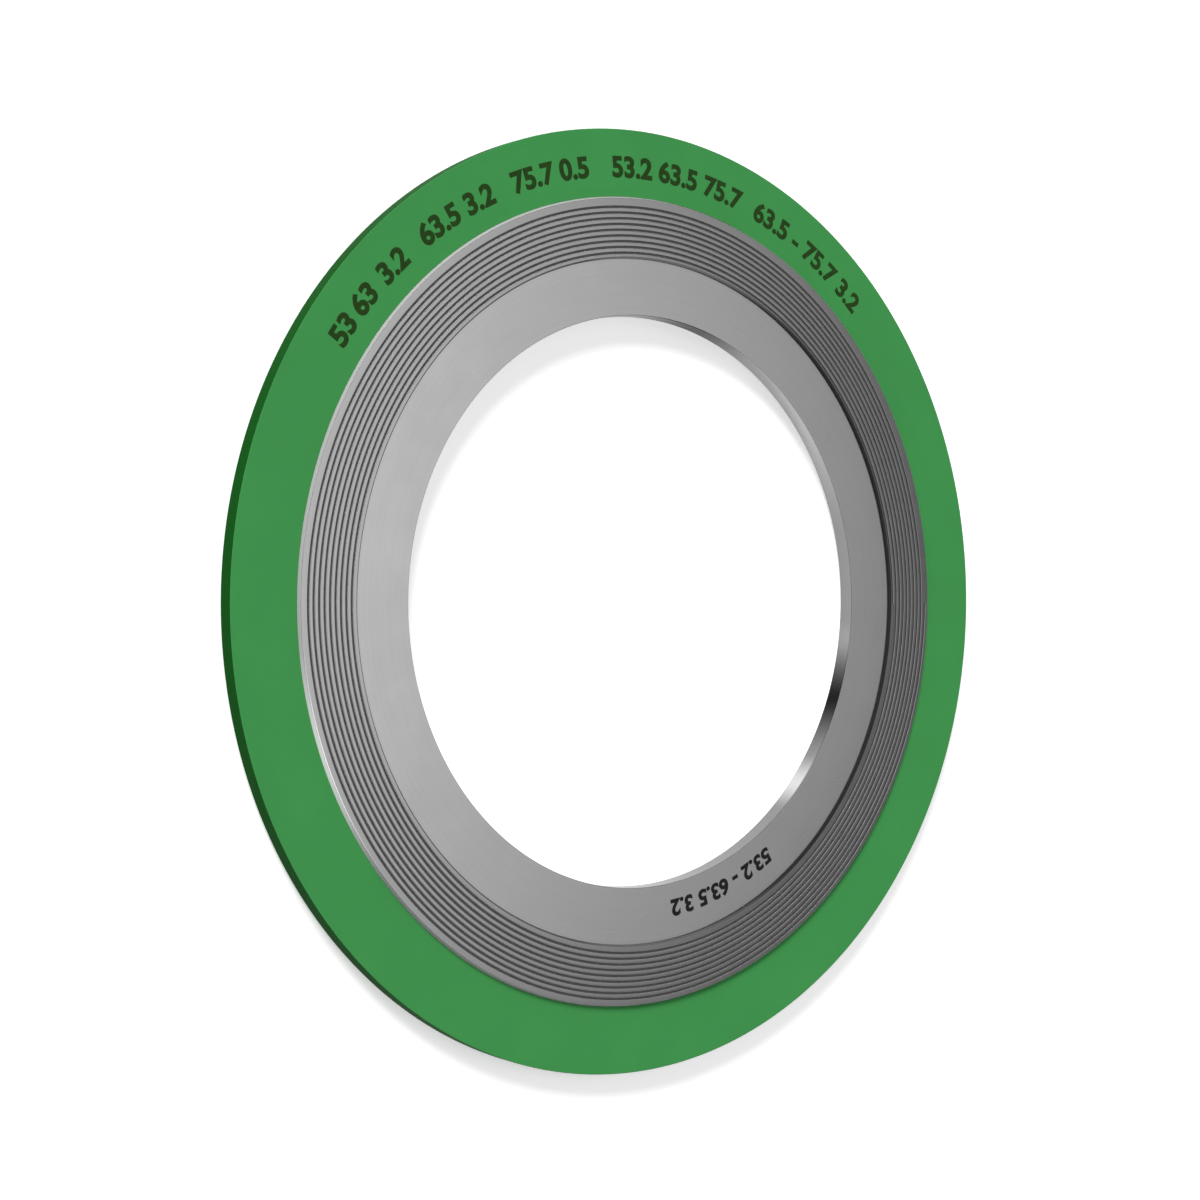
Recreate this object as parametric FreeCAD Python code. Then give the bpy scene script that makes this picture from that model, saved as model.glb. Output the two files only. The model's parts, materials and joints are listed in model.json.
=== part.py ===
import FreeCAD, Part
import math
import os
from FreeCAD import Vector

# Spiral wound gasket with a centring ring outside the winding and an inner ring inside it.
# It lies flat: +Z is its axis, and the origin is the middle of its lower sealing face.
# All sizes are in millimetres.

# Radial build, from the bore outwards
BORE_DIA = 106.4
INNER_RING_WIDTH = 10.3
WINDING_WIDTH = 11.2
CENTRING_RING_WIDTH = 12.7

# Heights
WINDING_HEIGHT = 4.5
CENTRING_RING_THICKNESS = 3.2
INNER_RING_THICKNESS = 3.2

# V of the wound strip: how far its middle stands outside its two edges
CHEVRON_DEPTH = 1.0

# Radial play between the winding's flanks and each ring
SEAT_CLEARANCE = 0.05

# Plies that show in the sealing faces: one metal ply and one filler ply make a turn
METAL_PLY = 0.55
FILLER_PLY = 0.5

# Plies of bare metal strip, welded solid at the winding's start and end, where they are thinnest
START_PLIES = 0.3
END_PLIES = 0.3

# Relief of the plies: the filler's edge below the face, and the edge of each metal ply
FILLER_RELIEF = 0.3
METAL_RELIEF = 0.04

# Small chamfer that takes the sharp edge off each ring
EDGE_BREAK = 0.25

# Values that follow from the sizes above
MID_PLANE = WINDING_HEIGHT / 2
BORE_RADIUS = BORE_DIA / 2
WINDING_INNER_RADIUS = BORE_RADIUS + INNER_RING_WIDTH
WINDING_OUTER_RADIUS = WINDING_INNER_RADIUS + WINDING_WIDTH
GASKET_RADIUS = WINDING_OUTER_RADIUS + CENTRING_RING_WIDTH
TURN_PITCH = METAL_PLY + FILLER_PLY
SPIRAL_WIDTH = WINDING_WIDTH - START_PLIES - END_PLIES
FILLED_TURNS = math.floor(SPIRAL_WIDTH / TURN_PITCH) - 1
TOOL_OVERRUN = 1.0

AXIS = Vector(0, 0, 1)
CENTRE = Vector(0, 0, 0)


def outline(points):
    """Closed face in the XZ plane through (radius, height) points."""
    corners = [Vector(radius, 0, height) for radius, height in points]
    return Part.Face(Part.makePolygon(corners + corners[:1]))


def flank_radius(edge_radius, height):
    """Radius of a V flank at a height: edge_radius at the faces, and most at the mid plane."""
    rise = 1 - abs(height - MID_PLANE) / MID_PLANE
    return edge_radius + CHEVRON_DEPTH * rise


def ring_heights(thickness):
    """Lower and upper face of a ring that is centred on the winding's mid plane."""
    return MID_PLANE - thickness / 2, MID_PLANE + thickness / 2


def winding_blank():
    """Winding before its plies are cut: a ring of V section, its point outwards."""
    inner, outer = WINDING_INNER_RADIUS, WINDING_OUTER_RADIUS
    heights = (0, MID_PLANE, WINDING_HEIGHT)
    inner_side = [(flank_radius(inner, height), height) for height in heights]
    outer_side = [(flank_radius(outer, height), height) for height in reversed(heights)]
    return outline(inner_side + outer_side).revolve(CENTRE, AXIS, 360)


def ply_comb(first_radius):
    """Section to cut from the upper face: a valley for each filler ply, a crest for each metal ply."""
    slope = FILLER_RELIEF / (TURN_PITCH / 2)
    run_out = TOOL_OVERRUN / slope
    last_radius = first_radius + FILLED_TURNS * TURN_PITCH
    points = [(first_radius - run_out, WINDING_HEIGHT + TOOL_OVERRUN)]
    for turn in range(FILLED_TURNS):
        valley = first_radius + (turn + 0.5) * TURN_PITCH
        if turn > 0:
            points.append((valley - TURN_PITCH / 2, WINDING_HEIGHT - METAL_RELIEF))
        points.append((valley, WINDING_HEIGHT - FILLER_RELIEF))
    points.append((last_radius + run_out, WINDING_HEIGHT + TOOL_OVERRUN))
    return outline(points)


def spiral_cutters():
    """Half turns about two centres that lie half a pitch apart, which join into one smooth spiral."""
    first = WINDING_INNER_RADIUS + START_PLIES + TURN_PITCH / 4
    halves = ((0, -TURN_PITCH / 4, first), (180, TURN_PITCH / 4, first + TURN_PITCH / 2))
    mid_point = Vector(0, 0, MID_PLANE)
    cutters = []
    for start_angle, centre_x, first_radius in halves:
        upper = ply_comb(first_radius).revolve(CENTRE, AXIS, 180)
        upper.rotate(CENTRE, AXIS, start_angle)
        upper.translate(Vector(centre_x, 0, 0))
        cutters += [upper, upper.mirror(mid_point, AXIS)]
    return cutters


def winding():
    """Metal strip and filler strip, wound together: one roll with its plies open in both faces."""
    roll = winding_blank()
    for cutter in spiral_cutters():
        roll = roll.cut(cutter)
    return roll


def centring_ring():
    """Flat outer ring with a V groove in its bore, where the winding's point sits."""
    low, high = ring_heights(CENTRING_RING_THICKNESS)
    heights = (high, MID_PLANE, low)
    groove = [
        (flank_radius(WINDING_OUTER_RADIUS, height) + SEAT_CLEARANCE, height) for height in heights
    ]
    rim = [
        (GASKET_RADIUS - EDGE_BREAK, low),
        (GASKET_RADIUS, low + EDGE_BREAK),
        (GASKET_RADIUS, high - EDGE_BREAK),
        (GASKET_RADIUS - EDGE_BREAK, high),
    ]
    return outline(groove + rim).revolve(CENTRE, AXIS, 360)


def inner_ring():
    """Flat inner ring whose pointed rim sits in the hollow side of the winding's V."""
    low, high = ring_heights(INNER_RING_THICKNESS)
    heights = (low, MID_PLANE, high)
    nose = [
        (flank_radius(WINDING_INNER_RADIUS, height) - SEAT_CLEARANCE, height) for height in heights
    ]
    bore = [
        (BORE_RADIUS + EDGE_BREAK, high),
        (BORE_RADIUS, high - EDGE_BREAK),
        (BORE_RADIUS, low + EDGE_BREAK),
        (BORE_RADIUS + EDGE_BREAK, low),
    ]
    return outline(nose + bore).revolve(CENTRE, AXIS, 360)


os.makedirs("parts", exist_ok=True)
PIECES = {
    "centring_ring": centring_ring,
    "winding": winding,
    "inner_ring": inner_ring,
}
for node, make in PIECES.items():
    shape = make()
    print(node, "solids", len(shape.Solids), "valid", shape.isValid(), "volume", round(shape.Volume, 1))
    shape.exportStep("parts/" + node + ".step")
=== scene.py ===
import json
import math

import bmesh
import bpy
from bpy.props import FloatProperty, FloatVectorProperty, IntProperty, PointerProperty
from mathutils import Matrix, Vector


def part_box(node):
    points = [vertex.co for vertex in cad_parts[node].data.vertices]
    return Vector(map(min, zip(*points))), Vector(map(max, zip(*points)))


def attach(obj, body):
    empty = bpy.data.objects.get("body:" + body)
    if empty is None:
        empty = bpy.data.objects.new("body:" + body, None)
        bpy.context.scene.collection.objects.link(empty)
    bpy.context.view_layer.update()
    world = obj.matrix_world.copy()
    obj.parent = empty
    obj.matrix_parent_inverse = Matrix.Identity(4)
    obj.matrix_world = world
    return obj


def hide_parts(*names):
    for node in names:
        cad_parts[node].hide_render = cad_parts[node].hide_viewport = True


bl_info = {
    "name": "Spiral Wound Gasket",
    "version": (1, 0, 0),
    "blender": (4, 5, 0),
    "location": "3D View > Sidebar > Gasket",
    "description": "Builds the rings, the wound strips and the printed numbers of a flange gasket",
    "category": "Object",
}

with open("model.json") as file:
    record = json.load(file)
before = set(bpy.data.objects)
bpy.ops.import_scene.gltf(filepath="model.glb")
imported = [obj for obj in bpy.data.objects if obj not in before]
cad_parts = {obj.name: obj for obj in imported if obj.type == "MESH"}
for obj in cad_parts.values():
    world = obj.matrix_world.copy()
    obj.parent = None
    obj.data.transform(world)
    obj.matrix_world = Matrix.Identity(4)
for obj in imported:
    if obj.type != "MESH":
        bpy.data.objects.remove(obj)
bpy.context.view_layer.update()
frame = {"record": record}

# Places taken from the frame, in metres
MM = 0.001
MOUNTS = {mount["name"]: mount for mount in frame["record"]["mounts"]}
RIM_RADIUS = MOUNTS["bolt_circle_rim"]["dims"]["r_mm"] * MM
BORE_RADIUS = MOUNTS["flow_bore"]["dims"]["r_mm"] * MM
RING_LOW, RING_HIGH = (corner.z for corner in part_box("centring_ring"))
INNER_LOW, INNER_HIGH = (corner.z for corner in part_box("inner_ring"))
WINDING_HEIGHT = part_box("winding")[1].z
WINDING_POINT_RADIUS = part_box("winding")[1].x
NOSE_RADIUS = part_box("inner_ring")[1].x

AXIS = (0.0, 0.0, 1.0)
CENTRE = (0.0, 0.0, 0.0)
SPIN_STEPS = 256
SHARP_ANGLE = math.radians(32)

# Distances within which points are joined into one, in the wound strips and in the print
JOIN_DISTANCE = 0.001 * MM
PRINT_JOIN_DISTANCE = 0.0005 * MM

# How far from a wall the points still belong to it, in roundings of the strip
WALL_REACH = 1.3

# Numbers printed on the rings: the part's own radii and thicknesses in millimetres, and the place of each
# group's middle, in degrees from +X
OUTER_NUMBERS = (
    ("53", 145.75),
    ("63", 140.9),
    ("3.2", 134.95),
    ("63.5 3.2", 123.05),
    ("75.7 0.5", 107.0),
    ("53.2 63.5 75.7", 85.3),
    ("63.5 - 75.7 3.2", 59.5),
)
INNER_NUMBERS = (("53.2 - 63.5 3.2", -70.75),)

# Painted reflections in the bore, as dark and bright patches: the middle and reach of each in degrees, and
# its tone as a share of the ring's steel
BORE_REFLECTIONS = (
    (48.0, 34.0, 0.82),
    (79.0, 19.0, 0.02),
    (-9.0, 6.0, 0.6),
    (-21.0, 15.5, 0.02),
    (-42.0, 8.0, 1.2),
)

# Painted highlight on the outer edge of the winding, in the same terms, and how wide it is
EDGE_HIGHLIGHT = (202.0, 19.0, 2.2)
EDGE_HIGHLIGHT_WIDTH = 0.24 * MM

# Tones of the bore's painted shade and of the painted shade within the first ply, as shares of their own
# colours, and how far that painted shade reaches into the winding
BORE_SHADE_TONE = 0.48
SLOPE_SHADE_TONE = 0.35
WALL_SHADE_TONE = 0.4
SHADE_REACH = 0.55 * MM

# Shares of a ring's rounding that take the painted shade of its rim, and of its bore
SHADED_RIM_SHARE = 0.3
BORE_SHARE = 0.8

# Range that most of a noise mask lies in, and how far it moves the roughness of steel up and down
NOISE_RANGE = (0.3, 0.7)
ROUGHNESS_PLAY = 0.02

# Upright part of a face's normal under which it counts as a wall, and as a slope
WALL_LIMIT = 0.6
SLOPE_LIMIT = 0.8

# Lettering for the numbers, in heights of a line: capital height, added weight, bevel of the edge and half
# the depth, and then the share by which it is stretched along the line
TYPE_CAP_HEIGHT = 0.69
TYPE_WEIGHT = 0.02
TYPE_EDGE = 0.02
TYPE_HALF_DEPTH = 0.4
TYPE_STRETCH = 1.08

# Floor: half its width in metres, its tone, and the glow that whitens it for the camera
FLOOR_SIZE = 3.0
FLOOR_TONE = 0.9
FLOOR_GLOW = 0.45

# Ceiling: the direction of its middle, and the cosines from there at which it starts and is full
CEILING_AIM = Vector((0.3, 0.08, 0.95))
CEILING_FADE = (0.87, 0.98)

# Heights of a direction at which the low white background starts and is full
HORIZON_FADE = (0.55, 0.25)

# Direction of the lamp, and the camera's sensor and nearest view
LAMP_PLACE = Vector((-0.445, 0.77, 0.455))
SENSOR_WIDTH = 36.0
NEAREST_VIEW = 0.01


class GasketSizes(bpy.types.PropertyGroup):
    """Sizes of the gasket's pieces that its outer frame doesn't give."""

    chevron_depth: FloatProperty(
        name="Chevron Depth",
        description="How far the middle of the V strip stands outside its edges",
        default=1.0 * MM,
        subtype="DISTANCE",
        unit="LENGTH",
    )
    seat_play: FloatProperty(
        name="Seat Play",
        description="Radial play between the winding and each ring",
        default=0.05 * MM,
        subtype="DISTANCE",
        unit="LENGTH",
    )
    metal_ply: FloatProperty(
        name="Metal Ply",
        description="Width that one turn of the metal strip shows",
        default=0.56 * MM,
        subtype="DISTANCE",
        unit="LENGTH",
    )
    filler_ply: FloatProperty(
        name="Filler Ply",
        description="Width that one turn of the graphite filler shows",
        default=0.49 * MM,
        subtype="DISTANCE",
        unit="LENGTH",
    )
    filled_turns: IntProperty(
        name="Filled Turns",
        description="Turns of graphite filler in the winding",
        default=9,
    )
    start_plies: FloatProperty(
        name="Start Plies",
        description="Bare metal at +X, up to half a pitch before the middle of the first filler turn",
        default=0.3 * MM,
        subtype="DISTANCE",
        unit="LENGTH",
    )
    filler_relief: FloatProperty(
        name="Filler Relief",
        description="How far the filler's edge lies below the sealing face",
        default=0.12 * MM,
        subtype="DISTANCE",
        unit="LENGTH",
    )
    strip_rounding: FloatProperty(
        name="Strip Rounding",
        description="Rounding on the edges of the metal strip",
        default=0.055 * MM,
        subtype="DISTANCE",
        unit="LENGTH",
    )
    start_edge_cut: FloatVectorProperty(
        name="Start Edge Cut",
        description="Slope on the inner edge of the first plies, along the face and along the flank",
        default=(0.48 * MM, 0.37 * MM),
        size=2,
        subtype="XYZ",
        unit="LENGTH",
    )
    ring_rounding: FloatProperty(
        name="Ring Rounding",
        description="Rounding on the edges of the two rings",
        default=0.12 * MM,
        subtype="DISTANCE",
        unit="LENGTH",
    )
    outer_type_height: FloatProperty(
        name="Outer Number Height",
        description="Height of the numbers on the centring ring",
        default=3.6 * MM,
        subtype="DISTANCE",
        unit="LENGTH",
    )
    outer_type_radius: FloatProperty(
        name="Outer Number Radius",
        description="Radius through the middle of the numbers on the centring ring",
        default=80.5 * MM,
        subtype="DISTANCE",
        unit="LENGTH",
    )
    inner_type_height: FloatProperty(
        name="Inner Number Height",
        description="Height of the numbers on the inner ring",
        default=2.95 * MM,
        subtype="DISTANCE",
        unit="LENGTH",
    )
    inner_type_radius: FloatProperty(
        name="Inner Number Radius",
        description="Radius through the middle of the numbers on the inner ring",
        default=58.0 * MM,
        subtype="DISTANCE",
        unit="LENGTH",
    )
    ink_thickness: FloatProperty(
        name="Ink Thickness",
        description="Height of the printed numbers above the ring",
        default=0.012 * MM,
        subtype="DISTANCE",
        unit="LENGTH",
    )


class GasketColours(bpy.types.PropertyGroup):
    """Base colours of the finishes, in linear values."""

    face_paint: FloatVectorProperty(
        name="Face Paint",
        description="Green paint on the faces of the centring ring",
        default=(0.052, 0.275, 0.074),
        subtype="COLOR",
        min=0.0,
        max=1.0,
    )
    # Painted shade: the rim's green is darker than the faces', standing for shade on the rim
    shaded_rim_paint: FloatVectorProperty(
        name="Shaded Rim Paint",
        description="Darker green paint on the rim of the centring ring",
        default=(0.001, 0.059, 0.003),
        subtype="COLOR",
        min=0.0,
        max=1.0,
    )
    strip_steel: FloatVectorProperty(
        name="Strip Steel",
        description="Rolled stainless strip of the winding",
        default=(0.376, 0.372, 0.376),
        subtype="COLOR",
        min=0.0,
        max=1.0,
    )
    ring_steel: FloatVectorProperty(
        name="Ring Steel",
        description="Ground steel of the inner ring",
        default=(0.52, 0.52, 0.52),
        subtype="COLOR",
        min=0.0,
        max=1.0,
    )
    graphite: FloatVectorProperty(
        name="Graphite",
        description="Flexible graphite of the filler strip",
        default=(0.108, 0.108, 0.111),
        subtype="COLOR",
        min=0.0,
        max=1.0,
    )
    outer_ink: FloatVectorProperty(
        name="Outer Ink",
        description="Dark olive ink on the centring ring",
        default=(0.014, 0.045, 0.005),
        subtype="COLOR",
        min=0.0,
        max=1.0,
    )
    inner_ink: FloatVectorProperty(
        name="Inner Ink",
        description="Black ink on the inner ring",
        default=(0.009, 0.009, 0.009),
        subtype="COLOR",
        min=0.0,
        max=1.0,
    )


class GasketStudio(bpy.types.PropertyGroup):
    """Light, and the camera as it stands from the middle of the centring ring's upper face."""

    camera_distance: FloatProperty(
        name="Camera Distance",
        description="Distance from the lens to the middle of the gasket, along the view",
        default=397.55 * MM,
        subtype="DISTANCE",
        unit="LENGTH",
    )
    camera_turn: FloatProperty(
        name="Camera Turn",
        description="Angle between the gasket's axis and the view, towards -X",
        default=math.radians(38.276),
        subtype="ANGLE",
        unit="ROTATION",
    )
    camera_tilt: FloatProperty(
        name="Camera Tilt",
        description="Angle of the view above or below the gasket's middle",
        default=math.radians(-0.054),
        subtype="ANGLE",
        unit="ROTATION",
    )
    camera_roll: FloatProperty(
        name="Camera Roll",
        description="Turn of the picture about the line of view",
        default=math.radians(0.395),
        subtype="ANGLE",
        unit="ROTATION",
    )
    camera_shift: FloatVectorProperty(
        name="Camera Shift",
        description="How far the camera stands to the left of and above the gasket's middle",
        default=(9.02 * MM, -0.35 * MM),
        size=2,
        subtype="XYZ",
        unit="LENGTH",
    )
    focal_length: FloatProperty(
        name="Focal Length",
        description="Lens for a sensor 36 millimetres wide",
        default=63.98,
        subtype="DISTANCE_CAMERA",
        unit="CAMERA",
    )
    world_strength: FloatProperty(
        name="World Strength",
        description="Even light from all round",
        default=0.2,
    )
    horizon_strength: FloatProperty(
        name="Horizon Strength",
        description="White background low down, all round",
        default=1.0,
    )
    ceiling_strength: FloatProperty(
        name="Ceiling Strength",
        description="Light from the soft white ceiling over the gasket",
        default=1.29,
    )
    key_strength: FloatProperty(
        name="Key Strength",
        description="Strength of the soft lamp at the upper left of the picture",
        default=3.6,
    )
    key_softness: FloatProperty(
        name="Key Softness",
        description="Angle that the soft lamp covers, as seen from the gasket",
        default=math.radians(22),
        subtype="ANGLE",
        unit="ROTATION",
    )


def flank(edge_radius, height, sizes):
    """Radius of a V flank at a height: the edge's at the sealing faces, and most at mid height."""
    middle = WINDING_HEIGHT / 2
    return edge_radius + sizes.chevron_depth * (1 - abs(height - middle) / middle)


def winding_radii(sizes):
    """Inner and outer radius of the winding at its sealing faces."""
    outer = WINDING_POINT_RADIUS - sizes.chevron_depth
    inner = NOSE_RADIUS + sizes.seat_play - sizes.chevron_depth
    return inner, outer


def turn_pitch(sizes):
    """Radial step from one turn to the next."""
    return sizes.metal_ply + sizes.filler_ply


def first_filler(sizes):
    """Edge radius of the filler's middle where its first turn starts."""
    return winding_radii(sizes)[0] + sizes.start_plies + turn_pitch(sizes) / 2


def spiral_radius(start_radius, angle, sizes):
    """Radius that the spiral reaches at an angle from +X, within one turn."""
    offset = turn_pitch(sizes) / 4
    half = 0 if angle < math.pi else 1
    arc = start_radius + offset * (1 + 2 * half)
    side = -offset if half == 0 else offset
    return side * math.cos(angle) + math.sqrt(arc ** 2 - (offset * math.sin(angle)) ** 2)


def draw_section(mesh, points, roundings):
    """Closed loop of edges through (radius, height) points, with {corner: rounding} rounded off."""
    corners = [mesh.verts.new((radius, 0.0, height)) for radius, height in points]
    mesh.faces.new(corners)
    for index, rounding in roundings.items():
        bmesh.ops.bevel(
            mesh,
            geom=[corners[index]],
            offset=rounding,
            offset_type="OFFSET",
            affect="VERTICES",
            segments=3,
            profile=0.5,
            material=-1,
        )
    bmesh.ops.delete(mesh, geom=mesh.faces[:], context="FACES_ONLY")


def chevron(inner, outer, low, high, sizes):
    """Corner points of a strip's V section between two edge radii, round its outline."""
    heights = (low, WINDING_HEIGHT / 2, high)
    points = [(flank(inner, height, sizes), height) for height in heights]
    points += [(flank(outer, height, sizes), height) for height in reversed(heights)]
    return points


def cut_corner(points, index, before, after):
    """Points with one corner cut off straight, by a distance along each of its sides."""
    corner = Vector(points[index])
    back = (Vector(points[index - 1]) - corner).normalized()
    ahead = (Vector(points[(index + 1) % len(points)]) - corner).normalized()
    ends = [tuple(corner + back * before), tuple(corner + ahead * after)]
    return points[:index] + ends + points[index + 1:]


def spin_full(mesh):
    """Turn the section once round the axis and join it to itself."""
    bmesh.ops.spin(
        mesh,
        geom=mesh.verts[:] + mesh.edges[:],
        cent=CENTRE,
        axis=AXIS,
        angle=math.tau,
        steps=SPIN_STEPS,
        use_merge=True,
    )


def wind(mesh, sizes):
    """Wind the sections, one for each turn, in half turns about two centres half a pitch apart.

    Each turn then ends where the next one starts, so the turns join into one smooth spiral."""
    offset = turn_pitch(sizes) / 4
    chain = mesh.verts[:] + mesh.edges[:]
    for centre_x in (-offset, offset):
        made = bmesh.ops.spin(
            mesh,
            geom=chain,
            cent=(centre_x, 0.0, 0.0),
            axis=AXIS,
            angle=math.pi,
            steps=SPIN_STEPS // 2,
            use_merge=False,
        )
        chain = made["geom_last"]
    bmesh.ops.remove_doubles(mesh, verts=mesh.verts[:], dist=JOIN_DISTANCE)


def close_ends(mesh):
    """Cap the open ends of a wound strip."""
    open_edges = [edge for edge in mesh.edges if edge.is_boundary]
    bmesh.ops.holes_fill(mesh, edges=open_edges, sides=0)


def make_piece(name, mesh, material):
    """Object at the origin from a finished bmesh, smooth but for its sharp edges."""
    bmesh.ops.recalc_face_normals(mesh, faces=mesh.faces[:])
    for face in mesh.faces:
        face.smooth = True
    for edge in mesh.edges:
        edge.smooth = edge.is_manifold and edge.calc_face_angle() < SHARP_ANGLE
    data = bpy.data.meshes.new(name)
    mesh.to_mesh(data)
    mesh.free()
    data.materials.append(material)
    piece = bpy.data.objects.new(name, data)
    bpy.context.scene.collection.objects.link(piece)
    flats = piece.modifiers.new("Keep Flats Flat", "WEIGHTED_NORMAL")
    flats.mode = "FACE_AREA_WITH_ANGLE"
    flats.keep_sharp = True
    return piece


def new_group(name, inputs, outputs):
    """Shader node group with (name, kind, value) inputs and (name, kind) outputs."""
    tree = bpy.data.node_groups.new(name, "ShaderNodeTree")
    for label, kind, value in inputs:
        socket = tree.interface.new_socket(label, in_out="INPUT", socket_type=kind)
        if value is not None:
            socket.default_value = value
    for label, kind in outputs:
        tree.interface.new_socket(label, in_out="OUTPUT", socket_type=kind)
    entry = tree.nodes.new("NodeGroupInput")
    leave = tree.nodes.new("NodeGroupOutput")
    return tree, entry, leave


def math_node(tree, operation, *values):
    """Math node whose inputs are numbers or sockets."""
    node = tree.nodes.new("ShaderNodeMath")
    node.operation = operation
    for socket, value in zip(node.inputs, values):
        if isinstance(value, bpy.types.NodeSocket):
            tree.links.new(value, socket)
        else:
            socket.default_value = value
    return node.outputs[0]


def mottle_group():
    """Cloudy variation over the surface: a mask from 0 to 1, in patches of a given size."""
    tree, entry, leave = new_group(
        "Mottle",
        (("Vector", "NodeSocketVector", None), ("Patch Size", "NodeSocketFloat", 0.004)),
        (("Mask", "NodeSocketFloat"),),
    )
    noise = tree.nodes.new("ShaderNodeTexNoise")
    noise.inputs["Detail"].default_value = 4.0
    tree.links.new(entry.outputs["Vector"], noise.inputs["Vector"])
    tree.links.new(math_node(tree, "DIVIDE", 1.0, entry.outputs["Patch Size"]), noise.inputs["Scale"])
    tree.links.new(noise.outputs["Fac"], leave.inputs["Mask"])
    return tree


def turning_group():
    """Fine marks that run round the axis, as a lathe, a roller or a grinding wheel leaves them."""
    tree, entry, leave = new_group(
        "Turning Marks",
        (("Vector", "NodeSocketVector", None), ("Spacing", "NodeSocketFloat", 0.0003)),
        (("Mask", "NodeSocketFloat"), ("Radius", "NodeSocketFloat")),
    )
    flat = tree.nodes.new("ShaderNodeVectorMath")
    flat.operation = "MULTIPLY"
    flat.inputs[1].default_value = (1.0, 1.0, 0.0)
    tree.links.new(entry.outputs["Vector"], flat.inputs[0])
    radius = tree.nodes.new("ShaderNodeVectorMath")
    radius.operation = "LENGTH"
    tree.links.new(flat.outputs["Vector"], radius.inputs[0])
    noise = tree.nodes.new("ShaderNodeTexNoise")
    noise.noise_dimensions = "1D"
    noise.inputs["Scale"].default_value = 1.0
    noise.inputs["Detail"].default_value = 1.0
    steps = math_node(tree, "DIVIDE", radius.outputs["Value"], entry.outputs["Spacing"])
    tree.links.new(steps, noise.inputs["W"])
    tree.links.new(noise.outputs["Fac"], leave.inputs["Mask"])
    tree.links.new(radius.outputs["Value"], leave.inputs["Radius"])
    return tree


def new_material(name):
    """Material with its Principled shader and Object coordinates."""
    material = bpy.data.materials.new(name)
    material.use_nodes = True
    tree = material.node_tree
    shader = tree.nodes["Principled BSDF"]
    place = tree.nodes.new("ShaderNodeTexCoord").outputs["Object"]
    return material, tree, shader, place


def use_group(tree, name, place, **values):
    """A shared node group, placed in a material with its own values."""
    node = tree.nodes.new("ShaderNodeGroup")
    node.node_tree = bpy.data.node_groups[name]
    tree.links.new(place, node.inputs["Vector"])
    for label, value in values.items():
        node.inputs[label.replace("_", " ")].default_value = value
    return node


def blend_colours(tree, mask, first, second):
    """Colour that goes from first to second as the mask goes from 0 to 1."""
    node = tree.nodes.new("ShaderNodeMix")
    node.data_type = "RGBA"
    tree.links.new(mask, node.inputs["Factor"])
    for socket, colour in ((node.inputs["A"], first), (node.inputs["B"], second)):
        if isinstance(colour, bpy.types.NodeSocket):
            tree.links.new(colour, socket)
        else:
            socket.default_value = (*colour, 1.0)
    return node.outputs["Result"]


def ramp(tree, value, limits, low, high, kind="LINEAR"):
    """Value that goes from low to high as another goes between its limits."""
    node = tree.nodes.new("ShaderNodeMapRange")
    node.interpolation_type = kind
    tree.links.new(value, node.inputs["Value"])
    for label, number in zip(("From Min", "From Max", "To Min", "To Max"), (*limits, low, high)):
        node.inputs[label].default_value = number
    return node.outputs["Result"]


def spread(tree, mask, low, high):
    """Value that goes from low to high over the middle of a noise mask, where most of it lies."""
    return ramp(tree, mask, NOISE_RANGE, low, high)


def raise_surface(tree, shader, height, distance):
    """Bump on the shader's normal, with the mask as its height and a depth in metres."""
    bump = tree.nodes.new("ShaderNodeBump")
    bump.inputs["Distance"].default_value = distance
    tree.links.new(height, bump.inputs["Height"])
    tree.links.new(bump.outputs["Normal"], shader.inputs["Normal"])


def shade(colour, factor):
    """A colour made darker or lighter by a factor."""
    return tuple(min(1.0, channel * factor) for channel in colour)


def vary(tree, mask, colour, low, high):
    """Colour that goes from one shade of itself to another as a noise mask goes over its range."""
    return blend_colours(tree, spread(tree, mask, 0.0, 1.0), shade(colour, low), shade(colour, high))


def paint_material(colours, sizes):
    """Satin green paint: even on the faces, darker on the rim as painted shade, with a faint orange peel.
    """
    material, tree, shader, place = new_material("Green Paint")
    clouds = use_group(tree, "Mottle", place, Patch_Size=0.012)
    peel = use_group(tree, "Mottle", place, Patch_Size=0.0007)
    round_axis = use_group(tree, "Turning Marks", place, Spacing=0.0012)
    face = vary(tree, clouds.outputs["Mask"], colours.face_paint, 0.965, 1.035)
    # Painted shade: the rim and the outer part of its rounding take the darker green
    shaded_rim_start = RIM_RADIUS - SHADED_RIM_SHARE * sizes.ring_rounding
    on_shaded_rim = math_node(tree, "GREATER_THAN", round_axis.outputs["Radius"], shaded_rim_start)
    tree.links.new(blend_colours(tree, on_shaded_rim, face, colours.shaded_rim_paint), shader.inputs["Base Color"])
    tree.links.new(spread(tree, peel.outputs["Mask"], 0.45, 0.55), shader.inputs["Roughness"])
    shader.inputs["Specular IOR Level"].default_value = 0.02
    raise_surface(tree, shader, peel.outputs["Mask"], 0.012 * MM)
    return material


def steel_material(name, colour, roughness):
    """Bright steel with marks that run round the axis, and a tone for its Base Color to build on."""
    material, tree, shader, place = new_material(name)
    marks = use_group(tree, "Turning Marks", place, Spacing=0.0009)
    clouds = use_group(tree, "Mottle", place, Patch_Size=0.006)
    tone = vary(tree, marks.outputs["Mask"], colour, 0.985, 1.015)
    low, high = roughness - ROUGHNESS_PLAY, roughness + ROUGHNESS_PLAY
    tree.links.new(spread(tree, clouds.outputs["Mask"], low, high), shader.inputs["Roughness"])
    shader.inputs["Metallic"].default_value = 1.0
    return material, tree, shader, marks.outputs["Radius"], tone


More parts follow.
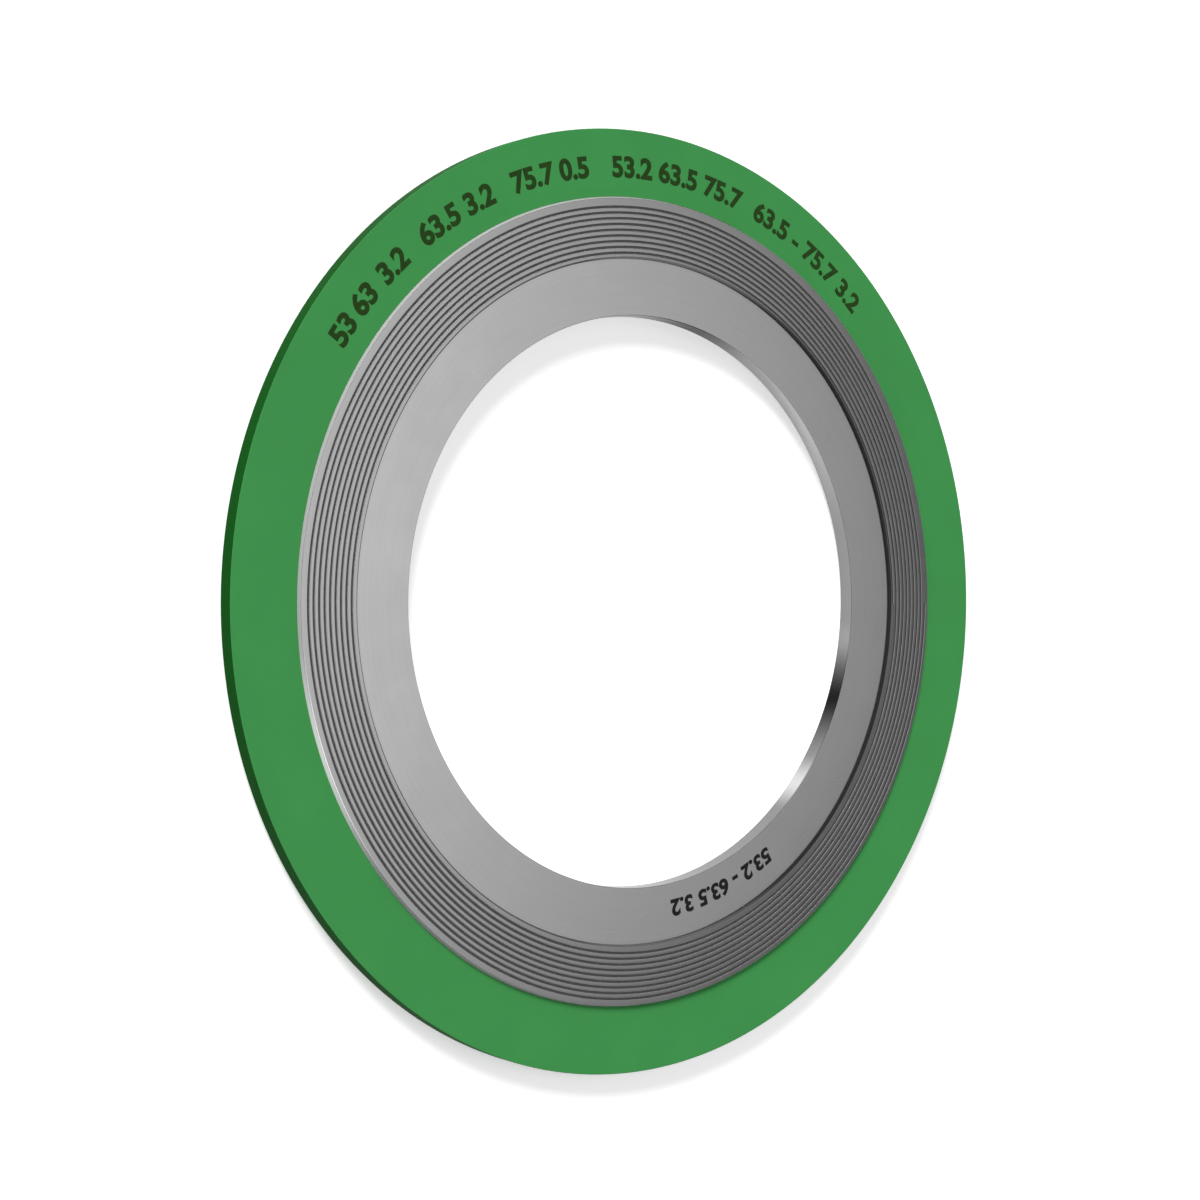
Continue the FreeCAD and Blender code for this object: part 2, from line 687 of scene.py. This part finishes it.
def strip_material(colours, sizes):
    """Steel of the wound strip: a painted highlight on its outer edge, and painted shade within its first
    ply.
    """
    material, tree, shader, radius, tone = steel_material(
        "Strip Steel", colours.strip_steel, roughness=0.15
    )
    level = levelness(tree)
    on_wall = math_node(tree, "LESS_THAN", level, WALL_LIMIT)
    on_slope = math_node(tree, "LESS_THAN", level, SLOPE_LIMIT)
    tree.links.new(math_node(tree, "SUBTRACT", 1.0, on_wall), shader.inputs["Metallic"])
    inner, outer = winding_radii(sizes)
    # Painted shade on the slope and the wall within the first ply, the wall in graphite's colour
    inside = math_node(tree, "LESS_THAN", radius, inner + SHADE_REACH)
    # Painted highlight on a stretch of the outer edge
    on_highlit_edge = math_node(tree, "GREATER_THAN", radius, outer - EDGE_HIGHLIGHT_WIDTH)
    middle, reach, factor = EDGE_HIGHLIGHT
    for first, second, colour in (
        (on_highlit_edge, angle_mask(tree, middle, reach), shade(colours.strip_steel, factor)),
        (on_slope, inside, shade(colours.strip_steel, SLOPE_SHADE_TONE)),
        (on_wall, inside, shade(colours.graphite, WALL_SHADE_TONE)),
    ):
        tone = blend_colours(tree, math_node(tree, "MULTIPLY", first, second), tone, colour)
    tree.links.new(tone, shader.inputs["Base Color"])
    return material


def ring_material(colours, sizes):
    """Steel of the inner ring, its bore darkened all round as painted shade, with dark and bright patches
    of painted reflection.
    """
    material, tree, shader, radius, tone = steel_material(
        "Ring Steel", colours.ring_steel, roughness=0.29
    )
    # Painted shade: the bore's steel darker all round
    in_bore = math_node(tree, "LESS_THAN", radius, BORE_RADIUS + BORE_SHARE * sizes.ring_rounding)
    tone = blend_colours(tree, in_bore, tone, shade(colours.ring_steel, BORE_SHADE_TONE))
    # Painted reflections: dark and bright patches at set angles round the bore
    for middle, reach, factor in BORE_REFLECTIONS:
        patch = math_node(tree, "MULTIPLY", in_bore, angle_mask(tree, middle, reach))
        tone = blend_colours(tree, patch, tone, shade(colours.ring_steel, factor))
    tree.links.new(tone, shader.inputs["Base Color"])
    return material


def levelness(tree):
    """1 where the surface faces straight up or down, and 0 on an upright wall."""
    parts = tree.nodes.new("ShaderNodeSeparateXYZ")
    geometry = tree.nodes.new("ShaderNodeNewGeometry")
    tree.links.new(geometry.outputs["True Normal"], parts.inputs["Vector"])
    return math_node(tree, "ABSOLUTE", parts.outputs["Z"])


def angle_mask(tree, middle, reach):
    """1 at an angle round the axis, in degrees from +X, falling smoothly to 0 at its reach."""
    parts = tree.nodes.new("ShaderNodeSeparateXYZ")
    place = tree.nodes.new("ShaderNodeTexCoord")
    tree.links.new(place.outputs["Object"], parts.inputs["Vector"])
    angle = math_node(tree, "ARCTAN2", parts.outputs["Y"], parts.outputs["X"])
    turned = math_node(tree, "SUBTRACT", angle, math.radians(middle))
    away = math_node(tree, "ABSOLUTE", math_node(tree, "WRAP", turned, math.pi, -math.pi))
    return ramp(tree, away, (math.radians(reach), 0.0), 0.0, 1.0, "SMOOTHSTEP")


def graphite_material(colours):
    """Matt graphite with small flakes that catch the light."""
    material, tree, shader, place = new_material("Graphite")
    flakes = use_group(tree, "Mottle", place, Patch_Size=0.0003)
    tone = vary(tree, flakes.outputs["Mask"], colours.graphite, 0.88, 1.12)
    tree.links.new(tone, shader.inputs["Base Color"])
    tree.links.new(spread(tree, flakes.outputs["Mask"], 0.6, 0.4), shader.inputs["Roughness"])
    shader.inputs["Metallic"].default_value = 0.85
    shader.inputs["Specular IOR Level"].default_value = 0.2
    raise_surface(tree, shader, flakes.outputs["Mask"], 0.008 * MM)
    return material


def ink_material(name, colour):
    """Stamping ink, a little uneven."""
    material, tree, shader, place = new_material(name)
    clouds = use_group(tree, "Mottle", place, Patch_Size=0.0009)
    tone = vary(tree, clouds.outputs["Mask"], colour, 0.85, 1.2)
    tree.links.new(tone, shader.inputs["Base Color"])
    tree.links.new(spread(tree, clouds.outputs["Mask"], 0.5, 0.65), shader.inputs["Roughness"])
    shader.inputs["Specular IOR Level"].default_value = 0.15
    return material


def print_line(mesh, text, middle_angle, radius, cap_height, base, thickness):
    """One group of numbers as a raised print, bent round the axis with its tops outwards."""
    curve = bpy.data.curves.new(text, "FONT")
    curve.body = text
    curve.align_x = "CENTER"
    curve.offset = TYPE_WEIGHT
    curve.extrude = TYPE_HALF_DEPTH
    curve.bevel_depth = TYPE_EDGE
    curve.bevel_resolution = 0
    holder = bpy.data.objects.new(text, curve)
    bpy.context.scene.collection.objects.link(holder)
    bpy.context.view_layer.update()
    flat = bpy.data.meshes.new_from_object(holder.evaluated_get(bpy.context.evaluated_depsgraph_get()))
    scale = cap_height / TYPE_CAP_HEIGHT
    for vert in flat.vertices:
        angle = math.radians(middle_angle) - vert.co.x * TYPE_STRETCH * scale / radius
        reach = radius + vert.co.y * scale - cap_height / 2
        height = base + (vert.co.z + 0.5) * thickness
        vert.co = (reach * math.cos(angle), reach * math.sin(angle), height)
    mesh.from_mesh(flat)
    bpy.data.objects.remove(holder)
    bpy.data.curves.remove(curve)
    bpy.data.meshes.remove(flat)


def make_print(name, lines, radius, cap_height, base, sizes, material):
    """All the groups of numbers on one ring, as one piece."""
    mesh = bmesh.new()
    for text, angle in lines:
        print_line(mesh, text, angle, radius, cap_height, base, sizes.ink_thickness)
    bmesh.ops.remove_doubles(mesh, verts=mesh.verts[:], dist=PRINT_JOIN_DISTANCE)
    return make_piece(name, mesh, material)


class GASKET_OT_make_groups(bpy.types.Operator):
    """Make the node groups that the finishes share"""

    bl_idname = "gasket.make_groups"
    bl_label = "Make Shared Effects"

    def execute(self, context):
        mottle_group()
        turning_group()
        return {"FINISHED"}


class GASKET_OT_make_centring_ring(bpy.types.Operator):
    """Make the painted outer ring, with the V groove in its bore"""

    bl_idname = "gasket.make_centring_ring"
    bl_label = "Make Centring Ring"

    def execute(self, context):
        sizes = context.scene.gasket_sizes
        outer = winding_radii(sizes)[1] + sizes.seat_play
        heights = (RING_HIGH, WINDING_HEIGHT / 2, RING_LOW)
        points = [(flank(outer, height, sizes), height) for height in heights]
        points += [(RIM_RADIUS, RING_LOW), (RIM_RADIUS, RING_HIGH)]
        mesh = bmesh.new()
        draw_section(mesh, points, {3: sizes.ring_rounding, 4: sizes.ring_rounding})
        spin_full(mesh)
        paint = paint_material(context.scene.gasket_colours, sizes)
        piece = make_piece("outer_centring_ring", mesh, paint)
        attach(piece, "root")
        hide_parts("centring_ring")
        return {"FINISHED"}


class GASKET_OT_make_inner_ring(bpy.types.Operator):
    """Make the plain inner ring, with its pointed rim"""

    bl_idname = "gasket.make_inner_ring"
    bl_label = "Make Inner Ring"

    def execute(self, context):
        sizes = context.scene.gasket_sizes
        nose = winding_radii(sizes)[0] - sizes.seat_play
        heights = (INNER_LOW, WINDING_HEIGHT / 2, INNER_HIGH)
        points = [(flank(nose, height, sizes), height) for height in heights]
        points += [(BORE_RADIUS, INNER_HIGH), (BORE_RADIUS, INNER_LOW)]
        mesh = bmesh.new()
        draw_section(mesh, points, {3: sizes.ring_rounding, 4: sizes.ring_rounding})
        spin_full(mesh)
        steel = ring_material(context.scene.gasket_colours, sizes)
        piece = make_piece("bore_inner_ring", mesh, steel)
        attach(piece, "root")
        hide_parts("inner_ring")
        return {"FINISHED"}


class GASKET_OT_wind_metal_strip(bpy.types.Operator):
    """Wind the V strip of metal between the turns of filler, and add its bare plies at both ends"""

    bl_idname = "gasket.wind_metal_strip"
    bl_label = "Wind Metal Strip"

    def execute(self, context):
        sizes = context.scene.gasket_sizes
        steel = strip_material(context.scene.gasket_colours, sizes)
        for name, mesh in (
            ("metal_strip", self.filled_plies(sizes)),
            ("metal_strip_start", self.bare_plies(sizes, at_start=True)),
            ("metal_strip_end", self.bare_plies(sizes, at_start=False)),
        ):
            piece = make_piece(name, mesh, steel)
            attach(piece, "root")
            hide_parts("winding")
        return {"FINISHED"}

    def filled_plies(self, sizes):
        """The plies that lie between two turns of filler."""
        inner = first_filler(sizes) + sizes.filler_ply / 2
        mesh = bmesh.new()
        for turn in range(sizes.filled_turns - 1):
            edge = inner + turn * turn_pitch(sizes)
            points = chevron(edge, edge + sizes.metal_ply, 0.0, WINDING_HEIGHT, sizes)
            draw_section(mesh, points, dict.fromkeys((0, 2, 3, 5), sizes.strip_rounding))
        wind(mesh, sizes)
        close_ends(mesh)
        return mesh

    def bare_plies(self, sizes, at_start):
        """One turn of plies without filler, between a round wall and a wall that follows the spiral."""
        if at_start:
            inner, outer = winding_radii(sizes)[0], first_filler(sizes) - sizes.filler_ply / 2
        else:
            turns = (sizes.filled_turns - 1) * turn_pitch(sizes)
            inner, outer = first_filler(sizes) + turns + sizes.filler_ply / 2, winding_radii(sizes)[1]
        points = chevron(inner, outer, 0.0, WINDING_HEIGHT, sizes)
        rounded, border = (0, 2, 3, 5), inner + WALL_REACH * sizes.strip_rounding
        if at_start:
            face, side = sizes.start_edge_cut
            points = cut_corner(cut_corner(points, 2, side, face), 0, face, side)
            rounded, border = (5, 7), outer - WALL_REACH * sizes.strip_rounding
        mesh = bmesh.new()
        draw_section(mesh, points, dict.fromkeys(rounded, sizes.strip_rounding))
        made = bmesh.ops.spin(
            mesh, geom=mesh.verts[:] + mesh.edges[:], cent=CENTRE, axis=AXIS, angle=math.tau,
            steps=SPIN_STEPS, use_merge=False,
        )
        last = {item for item in made["geom_last"] if isinstance(item, bmesh.types.BMVert)}
        for vert in mesh.verts:
            radius = vert.co.xy.length
            if (radius > flank(border, vert.co.z, sizes)) == at_start:
                angle = math.tau if vert in last else math.atan2(vert.co.y, vert.co.x) % math.tau
                vert.co.xy *= spiral_radius(radius, angle, sizes) / radius
        close_ends(mesh)
        return mesh


class GASKET_OT_wind_filler(bpy.types.Operator):
    """Wind the graphite filler strip between the metal plies"""

    bl_idname = "gasket.wind_filler"
    bl_label = "Wind Filler Strip"

    def execute(self, context):
        sizes = context.scene.gasket_sizes
        inner = first_filler(sizes) - sizes.filler_ply / 2
        low, high = sizes.filler_relief, WINDING_HEIGHT - sizes.filler_relief
        mesh = bmesh.new()
        for turn in range(sizes.filled_turns):
            edge = inner + turn * turn_pitch(sizes)
            points = chevron(edge, edge + sizes.filler_ply, low, high, sizes)
            draw_section(mesh, points, {})
        wind(mesh, sizes)
        close_ends(mesh)
        piece = make_piece("filler_strip", mesh, graphite_material(context.scene.gasket_colours))
        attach(piece, "root")
        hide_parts("winding")
        return {"FINISHED"}


class GASKET_OT_print_numbers(bpy.types.Operator):
    """Print plain numbers on the upper face of both rings"""

    bl_idname = "gasket.print_numbers"
    bl_label = "Print Numbers"

    def execute(self, context):
        sizes, colours = context.scene.gasket_sizes, context.scene.gasket_colours
        outer = make_print(
            "outer_numbers", OUTER_NUMBERS, sizes.outer_type_radius, sizes.outer_type_height,
            RING_HIGH, sizes, ink_material("Outer Ink", colours.outer_ink),
        )
        inner = make_print(
            "inner_numbers", INNER_NUMBERS, sizes.inner_type_radius, sizes.inner_type_height,
            INNER_HIGH, sizes, ink_material("Inner Ink", colours.inner_ink),
        )
        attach(outer, "root")
        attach(inner, "root")
        return {"FINISHED"}


class GASKET_OT_set_stage(bpy.types.Operator):
    """Make the floor, the world's light, the lamp and the camera"""

    bl_idname = "gasket.set_stage"
    bl_label = "Set Stage"

    def execute(self, context):
        studio = context.scene.gasket_studio
        self.lay_floor()
        self.light_world(context, studio)
        self.hang_lamp(context, studio)
        self.place_camera(context, studio)
        context.scene.view_settings.view_transform = "Standard"
        return {"FINISHED"}

    def lay_floor(self):
        """White floor, with a glow that only the camera, mirrors and glass see."""
        mesh = bmesh.new()
        bmesh.ops.create_grid(mesh, x_segments=1, y_segments=1, size=FLOOR_SIZE)
        data = bpy.data.meshes.new("floor")
        mesh.to_mesh(data)
        mesh.free()
        floor = bpy.data.objects.new("floor", data)
        bpy.context.scene.collection.objects.link(floor)
        material, tree, shader, place = new_material("White Floor")
        shader.inputs["Base Color"].default_value = (FLOOR_TONE, FLOOR_TONE, FLOOR_TONE, 1.0)
        shader.inputs["Roughness"].default_value = 0.9
        shader.inputs["Specular IOR Level"].default_value = 0.0
        shader.inputs["Emission Color"].default_value = (1.0, 1.0, 1.0, 1.0)
        path = tree.nodes.new("ShaderNodeLightPath").outputs
        mirrored = math_node(tree, "ADD", path["Is Glossy Ray"], path["Is Transmission Ray"])
        seen = math_node(tree, "ADD", path["Is Camera Ray"], mirrored)
        glow = math_node(tree, "MULTIPLY", seen, FLOOR_GLOW)
        tree.links.new(glow, shader.inputs["Emission Strength"])
        data.materials.append(material)

    def light_world(self, context, studio):
        """Soft ceiling over the gasket, and a white background low down all round."""
        world = bpy.data.worlds.new("Studio")
        world.use_nodes = True
        context.scene.world = world
        tree = world.node_tree
        light = tree.nodes["Background"]
        light.inputs["Color"].default_value = (1.0, 1.0, 1.0, 1.0)
        toward = tree.nodes.new("ShaderNodeTexCoord").outputs["Generated"]
        aim = tree.nodes.new("ShaderNodeVectorMath")
        aim.operation = "DOT_PRODUCT"
        aim.inputs[1].default_value = CEILING_AIM
        tree.links.new(toward, aim.inputs[0])
        upward = tree.nodes.new("ShaderNodeSeparateXYZ")
        tree.links.new(toward, upward.inputs["Vector"])
        ceiling = ramp(
            tree, aim.outputs["Value"], CEILING_FADE, studio.world_strength, studio.ceiling_strength
        )
        horizon = ramp(
            tree, upward.outputs["Z"], HORIZON_FADE, 0.0, studio.horizon_strength, "SMOOTHSTEP"
        )
        tree.links.new(math_node(tree, "MAXIMUM", ceiling, horizon), light.inputs["Strength"])

    def hang_lamp(self, context, studio):
        """Soft lamp that throws the shadows and doesn't show in the steel."""
        key = bpy.data.lights.new("Key", "SUN")
        key.energy = studio.key_strength
        key.angle = studio.key_softness
        lamp = bpy.data.objects.new("Key", key)
        lamp.location = LAMP_PLACE
        lamp.rotation_euler = (-LAMP_PLACE).to_track_quat("-Z", "Y").to_euler()
        lamp.visible_glossy = False
        context.scene.collection.objects.link(lamp)

    def place_camera(self, context, studio):
        """Camera at the photo's angle on the gasket."""
        lens = bpy.data.cameras.new("Camera")
        lens.sensor_width = SENSOR_WIDTH
        lens.lens = studio.focal_length
        lens.clip_start = NEAREST_VIEW
        camera = bpy.data.objects.new("Camera", lens)
        stand = Matrix.Translation((0.0, 0.0, RING_HIGH)) @ Matrix.Rotation(-studio.camera_turn, 4, "Y")
        stand = stand @ Matrix.Rotation(studio.camera_tilt, 4, "X")
        stand = stand @ Matrix.Rotation(studio.camera_roll, 4, "Z")
        shift = studio.camera_shift
        camera.matrix_world = stand @ Matrix.Translation((-shift[0], -shift[1], studio.camera_distance))
        context.scene.collection.objects.link(camera)
        context.scene.camera = camera


class GASKET_PT_build(bpy.types.Panel):
    """Sidebar panel with the steps in their order"""

    bl_idname = "GASKET_PT_build"
    bl_label = "Spiral Wound Gasket"
    bl_space_type = "VIEW_3D"
    bl_region_type = "UI"
    bl_category = "Gasket"

    def draw(self, context):
        layout = self.layout
        for step in STEPS:
            layout.operator(step.bl_idname)
        for group in (
            context.scene.gasket_sizes,
            context.scene.gasket_colours,
            context.scene.gasket_studio,
        ):
            box = layout.box()
            for label in group.__annotations__:
                box.prop(group, label)


SETTINGS = {
    "gasket_sizes": GasketSizes,
    "gasket_colours": GasketColours,
    "gasket_studio": GasketStudio,
}
STEPS = (
    GASKET_OT_make_groups,
    GASKET_OT_make_centring_ring,
    GASKET_OT_make_inner_ring,
    GASKET_OT_wind_metal_strip,
    GASKET_OT_wind_filler,
    GASKET_OT_print_numbers,
    GASKET_OT_set_stage,
)


def register():
    """Make the settings, the steps and the panel known to Blender."""
    for name, group in SETTINGS.items():
        bpy.utils.register_class(group)
        setattr(bpy.types.Scene, name, PointerProperty(type=group))
    for step in STEPS:
        bpy.utils.register_class(step)
    bpy.utils.register_class(GASKET_PT_build)


def unregister():
    """Take them away again, last first."""
    bpy.utils.unregister_class(GASKET_PT_build)
    for step in reversed(STEPS):
        bpy.utils.unregister_class(step)
    for name, group in reversed(SETTINGS.items()):
        delattr(bpy.types.Scene, name)
        bpy.utils.unregister_class(group)


def main():
    """Build the gasket and its studio."""
    register()
    bpy.ops.gasket.make_groups()
    bpy.ops.gasket.make_centring_ring()
    bpy.ops.gasket.make_inner_ring()
    bpy.ops.gasket.wind_metal_strip()
    bpy.ops.gasket.wind_filler()
    bpy.ops.gasket.print_numbers()
    bpy.ops.gasket.set_stage()


if __name__ == "__main__":
    main()
